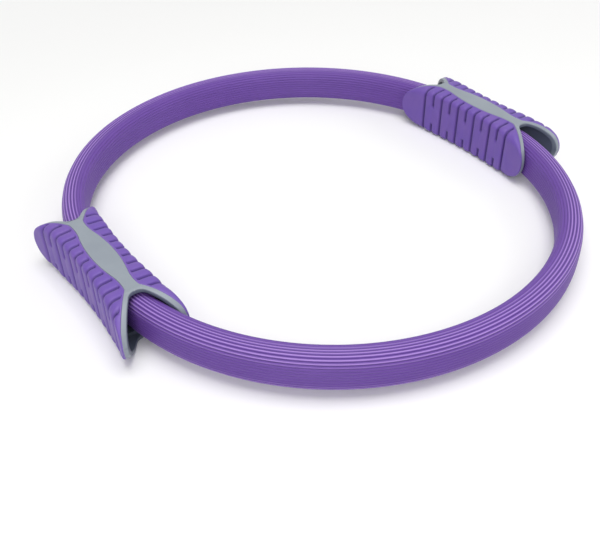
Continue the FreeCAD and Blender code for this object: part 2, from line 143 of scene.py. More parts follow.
def cleanMesh(mesh, sharpAngle):
    # merge what falls together, then keep only real corners sharp
    work = bmesh.new()
    work.from_mesh(mesh)
    bmesh.ops.remove_doubles(work, verts=work.verts, dist=weld["merge"] * mm)
    bmesh.ops.dissolve_degenerate(work, edges=work.edges, dist=weld["flat"] * mm)
    work.to_mesh(mesh)
    work.free()
    mesh.validate()
    mesh.set_sharp_from_angle(angle=math.radians(sharpAngle))


def addPiece(name, mesh, material):
    piece = bpy.data.objects.new(name, mesh)
    bpy.context.scene.collection.objects.link(piece)
    mesh.materials.append(material)
    return piece


sharpestTurn = 3.0      # radians, so that the tangent of half of it stays finite


def roundedPath(corners, radii, steps, closed, most=0.45):
    # Each corner becomes a quadratic curve from T before it to T past it, where T is the radius times
    # the tangent of half the turn, and at most a set share of the shorter neighbour.
    back = np.roll(corners, 1, 1) - corners
    fore = np.roll(corners, -1, 1) - corners
    backLong = np.maximum(np.linalg.norm(back, axis=2), tiny)
    foreLong = np.maximum(np.linalg.norm(fore, axis=2), tiny)
    back, fore = back / backLong[..., None], fore / foreLong[..., None]
    turn = np.arccos(np.clip(-(back * fore).sum(2), -1, 1))
    reach = np.asarray(radii) * np.tan(np.minimum(turn, sharpestTurn) / 2)
    reach = np.minimum(reach, most * np.minimum(backLong, foreLong))
    if not closed:
        reach[:, [0, -1]] = 0
    t = np.linspace(0, 1, steps)[:, None]
    start = (corners + back * reach[..., None])[:, :, None]
    end = (corners + fore * reach[..., None])[:, :, None]
    curve = (1 - t) ** 2 * start + 2 * t * (1 - t) * corners[:, :, None] + t ** 2 * end
    return curve.reshape(len(corners), -1, 2)


def evenPath(path, count):
    # Every path is walked in equal shares of its own length.
    step = np.linalg.norm(np.diff(path, axis=1), axis=2)
    length = np.concatenate([np.zeros((len(path), 1)), np.cumsum(step, 1)], 1)
    want = np.linspace(0, 1, count) * length[:, -1:]
    spot = (length[:, None, :] < want[:, :, None] - tiny).sum(2)
    spot = np.clip(spot, 1, path.shape[1] - 1)
    row = np.arange(len(path))[:, None]
    before, after = length[row, spot - 1], length[row, spot]
    share = (want - before) / np.maximum(after - before, tiny)
    walked = path[row, spot - 1] + (path[row, spot] - path[row, spot - 1]) * share[..., None]
    return walked, want


def newMaterial(name):
    material = bpy.data.materials.new(name)
    material.use_nodes = True
    nodes, links = material.node_tree.nodes, material.node_tree.links
    return material, nodes, links, nodes["Principled BSDF"]


def addNode(nodes, kind, **settings):
    node = nodes.new("ShaderNode" + kind)
    for name, value in settings.items():
        setattr(node, name, value)
    return node


def mixColours(nodes, links, share, first, second):
    mix = addNode(nodes, "Mix", data_type="RGBA")
    for socket, value in ((mix.inputs[0], share), (mix.inputs[6], first), (mix.inputs[7], second)):
        if isinstance(value, bpy.types.NodeSocket):
            links.new(value, socket)
        else:
            socket.default_value = value
    return mix.outputs[2]


def spread(nodes, links, value, low, high, start=0.0, end=1.0):
    ramp = addNode(nodes, "MapRange")
    links.new(value, ramp.inputs[0])
    for socket, number in zip(ramp.inputs[1:5], (start, end, low, high)):
        socket.default_value = number
    return ramp.outputs[0]


def noise(nodes, links, where, scale, detail=2.0):
    grain = addNode(nodes, "TexNoise")
    grain.inputs["Scale"].default_value = scale
    grain.inputs["Detail"].default_value = detail
    links.new(where, grain.inputs["Vector"])
    return grain.outputs[0]


def bumpFrom(nodes, links, shader, heights, strength, depth):
    bump = addNode(nodes, "Bump")
    bump.inputs["Strength"].default_value = strength
    bump.inputs["Distance"].default_value = depth * mm
    links.new(heights, bump.inputs["Height"])
    links.new(bump.outputs[0], shader.inputs["Normal"])


def cloudy(nodes, links, where, look, first, second):
    # one colour with faint clouds of another
    clouds = noise(nodes, links, where, look["clouds"], look["cloudDetail"])
    share = spread(nodes, links, clouds, 0.0, look["cloudMost"], *look["cloudFrom"])
    return mixColours(nodes, links, share, look[first], look[second])


def streaky(nodes, links, where, look):
    # noise drawn out into lines by squeezing the second direction
    stretch = addNode(nodes, "Mapping")
    stretch.inputs["Scale"].default_value = (1.0, look["squeeze"], 1.0)
    links.new(where, stretch.inputs["Vector"])
    return noise(nodes, links, stretch.outputs[0], look["streaks"], look["detail"])


# In each look, rough is the least and most roughness, and bump a strength and a depth in millimetres.
foamLook = {
    "skin": (0.136, 0.061, 0.315, 1),
    "cloud": (0.156, 0.071, 0.350, 1),     # faint paler clouds
    "valleyShade": (0.060, 0.026, 0.162, 1),    # painted shade between the ridges
    "crestHighlight": (0.430, 0.270, 0.680, 1),     # painted highlight along each ridge's crest
    "cells": 2600.0,                       # pores in the skin, per metre
    "clouds": 28.0,
    "cloudDetail": 4.0,
    "cloudFrom": (0.35, 0.75),             # noise where a cloud begins and where it is full
    "cloudMost": 0.55,
    "valleyTo": 0.45,                      # ridge mark where the painted valley shade ends
    "crestFrom": 0.80,                     # and where the painted crest highlight begins
    "crestMost": 0.85,
    "rough": (0.38, 0.54),
    "specular": 0.28,
    "bump": (0.25, 0.10),
}


def makeFoamLook():
    material, nodes, links, shader = newMaterial("ridgedFoam")
    skin = addNode(nodes, "UVMap").outputs[0]
    ridge = addNode(nodes, "Attribute", attribute_name="ridge").outputs["Fac"]
    cells = noise(nodes, links, skin, foamLook["cells"])
    body = cloudy(nodes, links, skin, foamLook, "skin", "cloud")
    # painted shade in the valleys between the ridges
    pastValleyShade = spread(nodes, links, ridge, 0.0, 1.0, 0.0, foamLook["valleyTo"])
    body = mixColours(nodes, links, pastValleyShade, foamLook["valleyShade"], body)
    # painted highlight along the crests of the ridges
    crestHighlightShare = spread(nodes, links, ridge, 0.0, foamLook["crestMost"], foamLook["crestFrom"], 1.0)
    body = mixColours(nodes, links, crestHighlightShare, body, foamLook["crestHighlight"])
    links.new(body, shader.inputs["Base Color"])
    links.new(spread(nodes, links, cells, *foamLook["rough"]), shader.inputs["Roughness"])
    shader.inputs["Specular IOR Level"].default_value = foamLook["specular"]
    bumpFrom(nodes, links, shader, cells, *foamLook["bump"])
    return material


padLook = {
    "face": (0.138, 0.072, 0.368, 1),
    "warm": (0.160, 0.084, 0.372, 1),      # faint warmer patches
    # painted shade in the grooves
    "groove": (0.046, 0.019, 0.150, 1),
    "edge": (0.215, 0.130, 0.450, 1),      # painted highlight along the thin rim beside the shell
    "grain": 1500.0,
    "clouds": 60.0,
    "cloudDetail": 3.0,
    "cloudFrom": (0.35, 0.7),
    "cloudMost": 1.0,
    "rough": (0.40, 0.55),
    "specular": 0.4,
    "bump": (0.25, 0.08),
}


def makePadLook():
    material, nodes, links, shader = newMaterial("padRubber")
    where = addNode(nodes, "TexCoord").outputs["Object"]
    groove = addNode(nodes, "Attribute", attribute_name="groove").outputs["Fac"]
    edge = addNode(nodes, "Attribute", attribute_name="edge").outputs["Fac"]
    grain = noise(nodes, links, where, padLook["grain"])
    body = cloudy(nodes, links, where, padLook, "face", "warm")
    # painted shade in the grooves
    body = mixColours(nodes, links, groove, body, padLook["groove"])
    # painted highlight along the pad's rim beside the shell
    body = mixColours(nodes, links, edge, body, padLook["edge"])
    links.new(body, shader.inputs["Base Color"])
    links.new(spread(nodes, links, grain, *padLook["rough"]), shader.inputs["Roughness"])
    shader.inputs["Specular IOR Level"].default_value = padLook["specular"]
    bumpFrom(nodes, links, shader, grain, *padLook["bump"])
    return material


shellLook = {
    "body": (0.262, 0.297, 0.338, 1),
    "dull": (0.236, 0.268, 0.310, 1),
    "inside": (0.095, 0.115, 0.158, 1),    # painted shade in the hollow under the rim
    "grain": 2200.0,                       # spark-eroded texture of the mould
    "grainDetail": 1.0,
    "clouds": 45.0,
    "cloudDetail": 3.0,
    "cloudFrom": (0.35, 0.7),
    "cloudMost": 1.0,
    "rough": (0.36, 0.50),
    "bump": (0.2, 0.05),
}


def makeShellLook():
    material, nodes, links, shader = newMaterial("gripPlastic")
    where = addNode(nodes, "TexCoord").outputs["Object"]
    grain = noise(nodes, links, where, shellLook["grain"], shellLook["grainDetail"])
    inside = addNode(nodes, "Attribute", attribute_name="inside").outputs["Fac"]
    body = cloudy(nodes, links, where, shellLook, "body", "dull")
    # painted shade inside the hollow and over the inner rounding of the notch rims
    body = mixColours(nodes, links, inside, body, shellLook["inside"])
    links.new(body, shader.inputs["Base Color"])
    links.new(spread(nodes, links, grain, *shellLook["rough"]), shader.inputs["Roughness"])
    bumpFrom(nodes, links, shader, grain, *shellLook["bump"])
    return material


fibreLook = {
    "resin": (0.46, 0.43, 0.30, 1),
    "strand": (0.62, 0.60, 0.50, 1),
    "streaks": 900.0,                      # long strands
    "squeeze": 0.04,
    "detail": 3.0,
    "rough": (0.28, 0.42),
    "bump": (0.15, 0.05),
}


def makeFibreLook():
    material, nodes, links, shader = newMaterial("glassFibre")
    strands = streaky(nodes, links, addNode(nodes, "UVMap").outputs[0], fibreLook)
    body = mixColours(nodes, links, strands, fibreLook["resin"], fibreLook["strand"])
    links.new(body, shader.inputs["Base Color"])
    links.new(spread(nodes, links, strands, *fibreLook["rough"]), shader.inputs["Roughness"])
    bumpFrom(nodes, links, shader, strands, *fibreLook["bump"])
    return material


steelLook = {
    "pale": (0.60, 0.60, 0.61, 1),
    "dark": (0.42, 0.42, 0.44, 1),
    "streaks": 700.0,                      # fine scratches
    "squeeze": 0.05,
    "detail": 4.0,
    "rough": (0.25, 0.45),
    "bump": (0.1, 0.03),
}


def makeSteelLook():
    material, nodes, links, shader = newMaterial("clampSteel")
    scratches = streaky(nodes, links, addNode(nodes, "TexCoord").outputs["Object"], steelLook)
    body = mixColours(nodes, links, scratches, steelLook["dark"], steelLook["pale"])
    links.new(body, shader.inputs["Base Color"])
    links.new(spread(nodes, links, scratches, *steelLook["rough"]), shader.inputs["Roughness"])
    shader.inputs["Metallic"].default_value = 1.0
    bumpFrom(nodes, links, shader, scratches, *steelLook["bump"])
    return material


looks = {"foam": makeFoamLook(), "pad": makePadLook(), "shell": makeShellLook(),
         "strip": makeFibreLook(), "plate": makeSteelLook()}
looks["fastener"] = looks["plate"]
print("materials:", len(set(looks.values())))


foam = {
    "wide": 17.36,
    "tall": 26.6,
    "squareness": 3.3,      # exponent of the rounded section, 2 is an ellipse
    "ridges": 34,
    "perRidge": 8,
    "ridgeDeep": 0.5,
    "fineSteps": 20001,     # points that measure the way round a section
    "markLeast": 0.10,      # painted highlight and shade of the ridges on the sides, where 1 is full
    "markUp": (0.2, 0.75),  # it grows between these shares of half the height
    "markOut": (-7, 0),     # and between these places across the section
    "markPlain": 0.6,       # mark where the colour of the ridges is nothing
    "markLift": 0.4,        # a full crest's mark above that
    "boreMark": 0.5,
    "start": 36.0,          # sleeve end, from the middle of the grip
    "stations": 121,
    "boreHalf": 3.15,
    "boreUp": 9.3,
    "boreSquareness": 14.0,
    "sharpAngle": 70,
}


def squaredLoop(halfWide, halfTall, squareness, count):
    # x = a cos^p and z = b sin^p of a running angle, p = 2 / squareness, spaced by arc length
    angle = np.linspace(0, 2 * np.pi, foam["fineSteps"])
    power = 2 / squareness
    x = halfWide * np.sign(np.cos(angle)) * np.abs(np.cos(angle)) ** power
    z = halfTall * np.sign(np.sin(angle)) * np.abs(np.sin(angle)) ** power
    length = np.concatenate([[0], np.cumsum(np.hypot(np.diff(x), np.diff(z)))])
    want = np.arange(count) / count * length[-1]
    return np.interp(want, length, x), np.interp(want, length, z), length[-1]


def foamSection():
    # Ridges lift the loop along its normal by deep (1 - (2 f - 1)^2), with f running 0 to 1 over a ridge.
    # The mark that paints highlight on their crests and shade in their valleys is full at the two outer
    # shoulders, where the light falls, low on the sides and towards the ring's middle.
    count = foam["ridges"] * foam["perRidge"]
    deep = foam["ridgeDeep"]
    x, z, length = squaredLoop(foam["wide"] / 2 - deep, foam["tall"] / 2 - deep, foam["squareness"], count)
    dx, dz = np.roll(x, -1) - np.roll(x, 1), np.roll(z, -1) - np.roll(z, 1)
    size = np.hypot(dx, dz)
    share = (np.arange(count) % foam["perRidge"]) / foam["perRidge"]
    grown = smoothStep(*foam["markUp"], np.abs(z) * 2 / foam["tall"]) * smoothStep(*foam["markOut"], x)
    strength = foam["markLeast"] + (1 - foam["markLeast"]) * grown
    away = (2 * share - 1) ** 2
    lift = deep * (1 - away)
    ridge = foam["markPlain"] + strength * (foam["markLift"] - away)
    return x + dz / size * lift, z - dx / size * lift, ridge, length


def makeSleeve(name, node, side):
    # The section is carried round a half circle about the end of the straight stretch, out along the
    # foam's skin and back along its bore.
    x, z, ridge, length = foamSection()
    boreX, boreZ, _ = squaredLoop(foam["boreHalf"], foam["boreUp"], foam["boreSquareness"], len(x))
    lead = math.asin((foam["start"] - hoop["clampHalf"]) / hoop["radius"])
    turn = np.linspace(lead, np.pi - lead, foam["stations"])
    turn = np.concatenate([turn, turn[::-1]])[:, None]
    skin = (np.arange(len(turn)) < foam["stations"])[:, None]
    reach = hoop["radius"] + np.where(skin, x, boreX)
    grid = stackPoints(reach * np.cos(turn), side * (hoop["clampHalf"] + reach * np.sin(turn)),
                       np.where(skin, z, boreZ))
    along = np.append(turn[:, 0], turn[0, 0]) * hoop["radius"]
    around = np.linspace(0, length, len(x) + 1)
    # the ridge mark carries the painted crest highlight and valley shade; the bore is plain
    marks = {"ridge": np.where(skin, ridge, foam["boreMark"])}
    mesh = meshFromGrid(name, grid, around, along, wrapRows=True, marks=marks)
    mesh.set_sharp_from_angle(angle=math.radians(foam["sharpAngle"]))
    sleeve = addPiece(name, mesh, looks["foam"])
    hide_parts(node)
    return sleeve


strip = {"stations": 60, "edgeRound": 0.4, "cornerSteps": 5, "sharpAngle": 50}


def makeStrip(name, node, offset, buttSide):
    # The strip's rounded section follows the stadium: two half circles and two straights, from one
    # side of its butt gap round to the other.
    half, up = hoop["stripThick"] / 2, hoop["stripTall"] / 2
    sectionCorners = np.array([[[half, -up], [half, up], [-half, up], [-half, -up]]])
    section = roundedPath(sectionCorners, [strip["edgeRound"]] * 4, strip["cornerSteps"], True)[0]
    reach = hoop["radius"] + offset + section[:, 0]
    straight, butt = hoop["clampHalf"], hoop["stripButt"] / 2
    turn = np.linspace(0, np.pi, strip["stations"])[:, None]
    first = stackPoints(reach, butt, section[:, 1])[None]
    back = stackPoints(reach * np.cos(turn), straight + reach * np.sin(turn), section[:, 1])
    front = stackPoints(-reach * np.cos(turn), -straight - reach * np.sin(turn), section[:, 1])
    last = stackPoints(reach, -butt, section[:, 1])[None]
    grid = np.concatenate([first, back, front, last])
    grid[..., :2] *= buttSide
    step = np.linalg.norm(np.diff(grid[:, 0], axis=0), axis=1)
    along = np.concatenate([[0], np.cumsum(step)])
    around = np.linspace(0, 2 * (hoop["stripThick"] + hoop["stripTall"]), len(section) + 1)
    mesh = meshFromGrid(name, grid, around, along)
    mesh.set_sharp_from_angle(angle=math.radians(strip["sharpAngle"]))
    piece = addPiece(name, mesh, looks["strip"])
    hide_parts(node)
    return piece


# Grips: one half in its own frame, x away from the split plane and y along the hoop
grip = {
    "half": padHigh.y / mm,
    "up": padHigh.z / mm,
    "waist": 16.0,          # split plane to the pad's face, half way along
    "endSquat": 3.0,        # half the height less the rounding at the end
    "endRun": 7.5,          # flat top to the middle of that rounding
    "endTurn": 86.0,        # where the end's arc is capped, in degrees
    "bevelAngle": 7.0,      # fall of the top towards the face
    "bevelDrop": 0.9,
    "padThick": 2.5,
    "padEdge": 0.9,         # pad left beside a leg at the very end
    "padClear": 0.1,        # pad's back to the edge of the spine
    "padShare": 0.6,        # the most that a pad takes of the grip's half height
    "padLeast": 0.4,
    "spineHalf": 5.0,
    "spineBulge": 2.8,
    "spineRun": 26.0,
    "neckHollow": 0.6,
    "notchDeep": 23.0,
    "notchRadius": 7.0,
    "notchEase": 1.3,
    "legLead": 4.0,
    "legEnd": 4.0,
    "rimWide": 3.6,
    "endWall": 2.65,
}
grip["endHalf"] = padHigh.x / mm - hoop["radius"]
grip["mouthHalf"] = grip["endHalf"] - grip["padThick"] - grip["endWall"]
grip["notchMouth"] = grip["mouthHalf"] + grip["notchEase"]
grip["endRadius"] = grip["up"] - grip["endSquat"]
grip["endMiddle"] = grip["half"] - grip["endRadius"]
grip["notchAt"] = grip["half"] - grip["notchDeep"]


def faceAt(y):
    # one long arc through the waist and the two wider ends
    flare = grip["endHalf"] - grip["waist"]
    bow = (grip["half"] ** 2 + flare ** 2) / (2 * flare)
    return grip["waist"] + bow - np.sqrt(bow ** 2 - y ** 2)


def heightAt(y, inset=0.0):
    # flat top, then an arc of the large radius, then one of the end's radius, all tangent
    run, end, up = grip["endRun"], grip["endRadius"], grip["up"]
    large = (run ** 2 + up ** 2 - end ** 2) / (2 * grip["endSquat"])
    flat = grip["endMiddle"] - run
    join = grip["endMiddle"] + (end - inset) * run / (large - end)
    far = np.abs(y)
    slope = up - large + np.sqrt(np.maximum((large - inset) ** 2 - (far - flat) ** 2, 0))
    tip = np.sqrt(np.maximum((end - inset) ** 2 - (far - grip["endMiddle"]) ** 2, 0))
    return np.where(far < flat, up - inset, np.where(far < join, slope, tip))


def notchLine():
    # tangent from the mouth's corner to the round foot of the notch
    reach, radius = grip["notchMouth"], grip["notchRadius"]
    run = grip["notchDeep"] - radius
    square = reach ** 2 + run ** 2
    near = radius ** 2 / square
    far = radius * math.sqrt(square - radius ** 2) / square
    touchX = reach * near + run * far
    touchY = grip["notchAt"] + radius + run * near - reach * far
    return touchX, touchY, (reach - touchX) / (grip["half"] - touchY)


def notchAt(y):
    # half width of the notch: nothing, then its round foot, then its straight side
    touchX, touchY, slope = notchLine()
    far = np.abs(y)
    centre = grip["notchAt"] + grip["notchRadius"]
    foot = np.sqrt(np.maximum(grip["notchRadius"] ** 2 - (far - centre) ** 2, 0))
    straight = touchX + slope * (far - touchY)
    return np.where(far < grip["notchAt"], 0, np.where(far < touchY, foot, straight))


def spineAt(y):
    # half width of the spine: a swell, a hollow neck, a leg beside the notch and the leg's end
    touchX, touchY, slope = notchLine()
    far = np.abs(y)
    run, half, bulge = grip["spineRun"], grip["spineHalf"], grip["spineBulge"]
    swellRadius = (run ** 2 + bulge ** 2) / (2 * bulge)
    swell = half + bulge - swellRadius + np.sqrt(swellRadius ** 2 - np.minimum(far, run) ** 2)
    leg = touchX + slope * (far - touchY) + grip["rimWide"]
    legY = grip["notchAt"] - grip["legLead"]
    legX = touchX + slope * (legY - touchY) + grip["rimWide"]
    chord = np.array([legX - half, legY - run])
    hollow = grip["neckHollow"]
    neckRadius = ((chord ** 2).sum() / 4 + hollow ** 2) / (2 * hollow)
    across = np.array([chord[1], -chord[0]]) / np.linalg.norm(chord)
    middle = np.array([half, run]) + chord / 2 + across * (neckRadius - hollow)
    neck = middle[0] - np.sqrt(np.maximum(neckRadius ** 2 - (far - middle[1]) ** 2, 0))
    legFar = grip["half"] - grip["legEnd"]
    legFarX = touchX + slope * (legFar - touchY) + grip["rimWide"]
    endX = grip["endHalf"] - grip["padEdge"]
    end = legFarX + (endX - legFarX) * (far - legFar) / grip["legEnd"]
    return np.select([far < run, far < legY, far < legFar], [swell, neck, leg], end)


def padDepth(y):
    # thickness of the pad, less where the end tapers
    room = np.maximum(faceAt(y) - spineAt(y) - grip["padClear"], grip["padLeast"])
    return np.minimum(np.minimum(grip["padThick"], grip["padShare"] * heightAt(y)), room)


def gripColumns(count, endCount):
    # even steps between the middles of the end arcs, then equal turns round each end
    body = np.linspace(-grip["endMiddle"], grip["endMiddle"], count)
    turn = np.linspace(0, math.radians(grip["endTurn"]), endCount + 1)[1:]
    tip = grip["endMiddle"] + grip["endRadius"] * np.sin(turn)
    return np.concatenate([-tip[::-1], body, tip])


def outsideAt(y, inner):
    # Height of the top at x = inner, then the face and the corner where the sloping top would meet it.
    face, height = faceAt(y), heightAt(y)
    slope = math.tan(math.radians(grip["bevelAngle"]))
    corner = np.minimum(grip["up"] - grip["bevelDrop"], height)
    return np.minimum(height, corner + (face - inner) * slope), face, corner


def putHalf(side, out, x, y, z):
    # the half turned to its place: out is 1 towards +X and -1 towards -X
    return stackPoints(side * hoop["radius"] + out * x, out * y, z)


pad = {
    "columns": 270,
    "endColumns": 24,
    "outside": 176,
    "inside": 36,
    "shoulder": 4.5,
    "endShoulder": 9.5,     # the end lobes are rounder
    "endGrowth": (34, 56),  # the shoulder grows between these places along the grip
    "cornerSteps": 16,
    "cornerShare": 0.9,     # the most that a rounding takes of its neighbour
    "edgeRound": 0.7,
    "edgeMark": (0.2, 1.0),  # the rim's painted highlight fades between these distances
    "rimClear": 1.7,        # bare rim between a groove's end and the spine
    "rimFade": (0.8, 0.9),  # a groove deepens from before to past it
    "last": {"outer": 6, "inner": 5},     # outermost groove, in steps from the middle
    "lastFade": (0.8, 0.4),  # nothing and everything of a groove, in steps past the last
    "pitch": 9.0,           # long and short grooves alternate at this step
    "grooveHalf": 1.6,
    "grooveDeep": 1.3,
    "grooveFlat": 0.2,      # share of the half width that is full depth
    "mostDeep": 0.8,        # share of the pad's thickness
    "crown": 0.85,          # swell of the bars between the grooves
    "crownLeast": 0.3,      # share of it where a short groove has ended
    "shortTop": 6.0,        # middle plane to the foot of a short groove
    "shortBottom": 9.5,
    "footRound": 1.3,
    "sharpAngle": 55,
}


def shoulderAt(y, corner):
    # rounding between the top and the face
    more = pad["endShoulder"] - pad["shoulder"]
    return np.minimum(pad["shoulder"] + more * smoothStep(*pad["endGrowth"], np.abs(y)), corner)


def padGrooves(y, z, fromEdge, last):
    # Depth below the pad's face: round-bottomed grooves, and bars that swell between them by the square
    # of the distance to their middle. Every second groove stops short of the middle plane.
    number = np.round(y / pad["pitch"])
    away = np.abs(y - number * pad["pitch"])
    none, full = pad["lastFade"]
    inside = smoothStep(last + none, last + full, np.abs(y / pad["pitch"]))
    before, past = pad["rimFade"]
    clear = smoothStep(pad["rimClear"] - before, pad["rimClear"] + past, fromEdge)
    soft = pad["footRound"]
    top = smoothStep(pad["shortTop"] - soft, pad["shortTop"] + soft, z)
    bottom = smoothStep(pad["shortBottom"] - soft, pad["shortBottom"] + soft, -z)
    whole = (number - last) % 2 == 0
    reach = np.where(whole, 1.0, top + bottom)
    groove = (1 - smoothStep(pad["grooveFlat"], 1.0, away / pad["grooveHalf"])) * reach * clear * inside
    swell = pad["crownLeast"] + (1 - pad["crownLeast"]) * reach
    crown = (1 - away / (pad["pitch"] / 2)) ** 2 * swell * clear * inside
    return pad["grooveDeep"] * groove + pad["crown"] * crown, groove


def makePad(name, node, body, side, out, last):
    y = gripColumns(pad["columns"], pad["endColumns"])
    spine = spineAt(y)
    level, face, corner = outsideAt(y, spine)
    half = [np.stack([spine, level], -1), np.stack([face, corner], -1)]
    corners = np.stack(half + [point * [1, -1] for point in half[::-1]], 1)
    radii = shoulderAt(y, corner)[:, None].repeat(4, 1)
    rounded = roundedPath(corners, radii, pad["cornerSteps"], False, pad["cornerShare"])
    path, walked = evenPath(rounded, pad["outside"])
    tangent = np.gradient(path, axis=1)
    tangent /= np.linalg.norm(tangent, axis=2)[..., None]
    normal = np.stack([-tangent[..., 1], tangent[..., 0]], -1)
    fromEdge = np.minimum(walked, walked[:, -1:] - walked)
    depth, groove = padGrooves(y[:, None], path[..., 1], fromEdge, last)
    inEdge = np.clip(pad["edgeRound"] - fromEdge, 0, pad["edgeRound"])
    depth += pad["edgeRound"] - np.sqrt(pad["edgeRound"] ** 2 - inEdge ** 2)
    thick = padDepth(y)[:, None]
    outer = path - normal * np.minimum(depth, pad["mostDeep"] * thick)[..., None]
    inner, _ = evenPath((path - normal * thick[..., None])[:, ::-1], pad["inside"])
    loop = np.concatenate([outer, inner], 1)
    grid = putHalf(side, out, loop[..., 0], y[:, None], loop[..., 1])
    blank = np.zeros(inner.shape[:2])
    # the marks paint shade in the grooves and a highlight along the pad's rim
    marks = {"groove": np.concatenate([groove, blank], 1),
             "edge": np.concatenate([1 - smoothStep(*pad["edgeMark"], fromEdge), blank], 1)}
    around = np.linspace(0, 2 * grip["half"], loop.shape[1] + 1)
    mesh = meshFromGrid(name, grid, around, y, marks=marks)
    cleanMesh(mesh, pad["sharpAngle"])
    piece = addPiece(name, mesh, looks["pad"])
    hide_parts(node)
    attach(piece, body)


shell = {
    "columns": 150,
    "endColumns": 26,
    "cornerSteps": 6,
    "cornerShare": 0.9,
    "rimRound": 0.9,        # rim of a notch
    "spineRound": 0.5,      # spine beside the pad
    "roofRound": 0.6,       # ceiling of the mouth at the rim
    "bedOverlap": 0.05,     # the pad's back lies this far in its bed
    "bedRun": 0.05,         # least width of the bed past the spine
    "bedShare": 0.6,        # the bed's rounding is less than the pad's by this share of the sink
    "bedLeast": 1.0,        # least rounding of the bed
    "roofLeast": 0.1,       # least half height of the hollow
    "rimShade": 0.7,        # the rim darkens this far towards the inside
    "pocketStart": 34.46,
    "pocketHalf": 10.22,
    "pocketUp": 13.8,
    "mouthLead": 3.0,       # the pocket rises this far before the notch
    "mouthWall": 3.0,
    "slotHalf": 4.17,
    "slotUp": 9.3,
    "seatHalf": 5.45,       # room for a clamp plate
    "seatEnd": 16.3,
    "hair": 0.002,          # between the two columns at a step
    "sharpAngle": 38,
}


def shellColumns():
    # twice the column where the hollow steps
    steps = np.array([shell["seatEnd"], shell["pocketStart"], grip["notchAt"] - shell["mouthLead"],
                      grip["notchAt"]])
    pairs = np.concatenate([steps - shell["hair"], steps + shell["hair"]])
    even = gripColumns(shell["columns"], shell["endColumns"])
    return np.sort(np.concatenate([even, pairs, -pairs]))


def hollowAt(y):
    # half width and half height of the room inside: slot, plate seat, pocket, then the mouth, whose
    # ceiling keeps an even wall under the top
    far = np.abs(y)
    slope = (grip["mouthHalf"] - shell["pocketHalf"]) / (grip["half"] - shell["pocketStart"])
    pocket = shell["pocketHalf"] + slope * (far - shell["pocketStart"])
    mouth = grip["notchAt"] - shell["mouthLead"]
    stages = [far < shell["seatEnd"], far < shell["pocketStart"], far < mouth]
    wide = np.select(stages, [shell["seatHalf"], shell["slotHalf"], pocket], pocket)
    wide = np.where(far < grip["half"] - shell["mouthWall"], wide, 0)
    roof = heightAt(y, shell["mouthWall"])
    tall = np.select(stages, [shell["slotUp"], shell["slotUp"], shell["pocketUp"]], roof)
    return np.maximum(wide, notchAt(y)), np.maximum(tall, shell["roofLeast"])


def makeShell(name, node, body, side, out):
    # One closed outline per column: along the top from the split plane or the notch to the spine's edge,
    # down to the pad's bed, round to the bottom, and back along the hollow.
    y = shellColumns()
    far = np.abs(y)
    spine, notch = spineAt(y), notchAt(y)
    level, face, corner = outsideAt(y, spine)
    wide, tall = hollowAt(y)
    sink = padDepth(y) - shell["bedOverlap"]
    rim = np.clip(grip["notchAt"] - far, 0, shell["rimRound"])
    drop = shell["rimRound"] - np.sqrt(shell["rimRound"] ** 2 - (shell["rimRound"] - rim) ** 2)
    top = heightAt(y) - np.where(far < grip["notchAt"], drop, 0)
    bed = np.maximum(face - sink, spine + shell["bedRun"])
    half = [np.stack([notch, top], -1), np.stack([spine, level], -1),
            np.stack([spine, level - sink], -1), np.stack([bed, corner - sink], -1)]
    room = [np.stack([notch, tall], -1), np.stack([wide, tall], -1)]
    flip = np.array([1, -1])
    corners = np.stack(half + [point * flip for point in half[::-1]]
                       + [point * flip for point in room] + room[::-1], 1)
    rimRound = np.where(far < grip["notchAt"], 0, shell["rimRound"])
    still = np.full(len(y), shell["spineRound"])
    roofRound = np.where(far < grip["notchAt"], 0, shell["roofRound"])
    bedRound = np.maximum(shoulderAt(y, corner) - shell["bedShare"] * sink, shell["bedLeast"])
    radii = np.stack([rimRound, still, 0 * still, bedRound, bedRound, 0 * still, still, rimRound,
                      roofRound, still, still, roofRound], 1)
    path = roundedPath(corners, radii, shell["cornerSteps"], True, shell["cornerShare"])
    grid = putHalf(side, out, path[..., 0], y[:, None], path[..., 1])
    around = np.linspace(0, 2 * grip["half"], path.shape[1] + 1)
    # painted shade: the hollow's walls are marked fully, and the mark fades in over each notch rim's
    # rounding
    inside = np.zeros(corners.shape[:2] + (shell["cornerSteps"],))
    outside = 2 * len(half)
    inside[:, outside:] = 1
    fade = shell["rimShade"] * np.linspace(0, 1, shell["cornerSteps"]) ** 2 * (notch > 0)[:, None]
    inside[:, outside - 1], inside[:, 0] = fade, fade[:, ::-1]
    mesh = meshFromGrid(name, grid, around, y, marks={"inside": inside})
    cleanMesh(mesh, shell["sharpAngle"])
    piece = addPiece(name, mesh, looks["shell"])
    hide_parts(node)
    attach(piece, body)


def makeGrip(sideName, side, body):
    for faceName, out in (("outer", side), ("inner", -side)):
        name = sideName + faceName.capitalize()
        node = "%s_%s_" % (sideName, faceName)
        makePad(name + "Pad", node + "pad", body, side, out, pad["last"][faceName])
        makeShell(name + "Shell", node + "shell", body, side, out)


sleeves = [makeSleeve("backFoam", "back_foam_sleeve", 1),
           makeSleeve("frontFoam", "front_foam_sleeve", -1)]
strips = [makeStrip("outerStrip", "hoop_strip_outer", hoop["stripPitch"], -1),
          makeStrip("middleStrip", "hoop_strip_middle", 0, 1),
          makeStrip("innerStrip", "hoop_strip_inner", -hoop["stripPitch"], -1)]
for piece in sleeves + strips:
    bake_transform(piece)

makeGrip("left", -1, hoopBody)
makeGrip("right", 1, farBody)
print("grips: pads and shells in place")

for item in frame["record"]["subparts"]:
    node = frame["nodes"][item["node"]]
    node.data.materials.clear()
    node.data.materials.append(looks[item["material_slot"]])


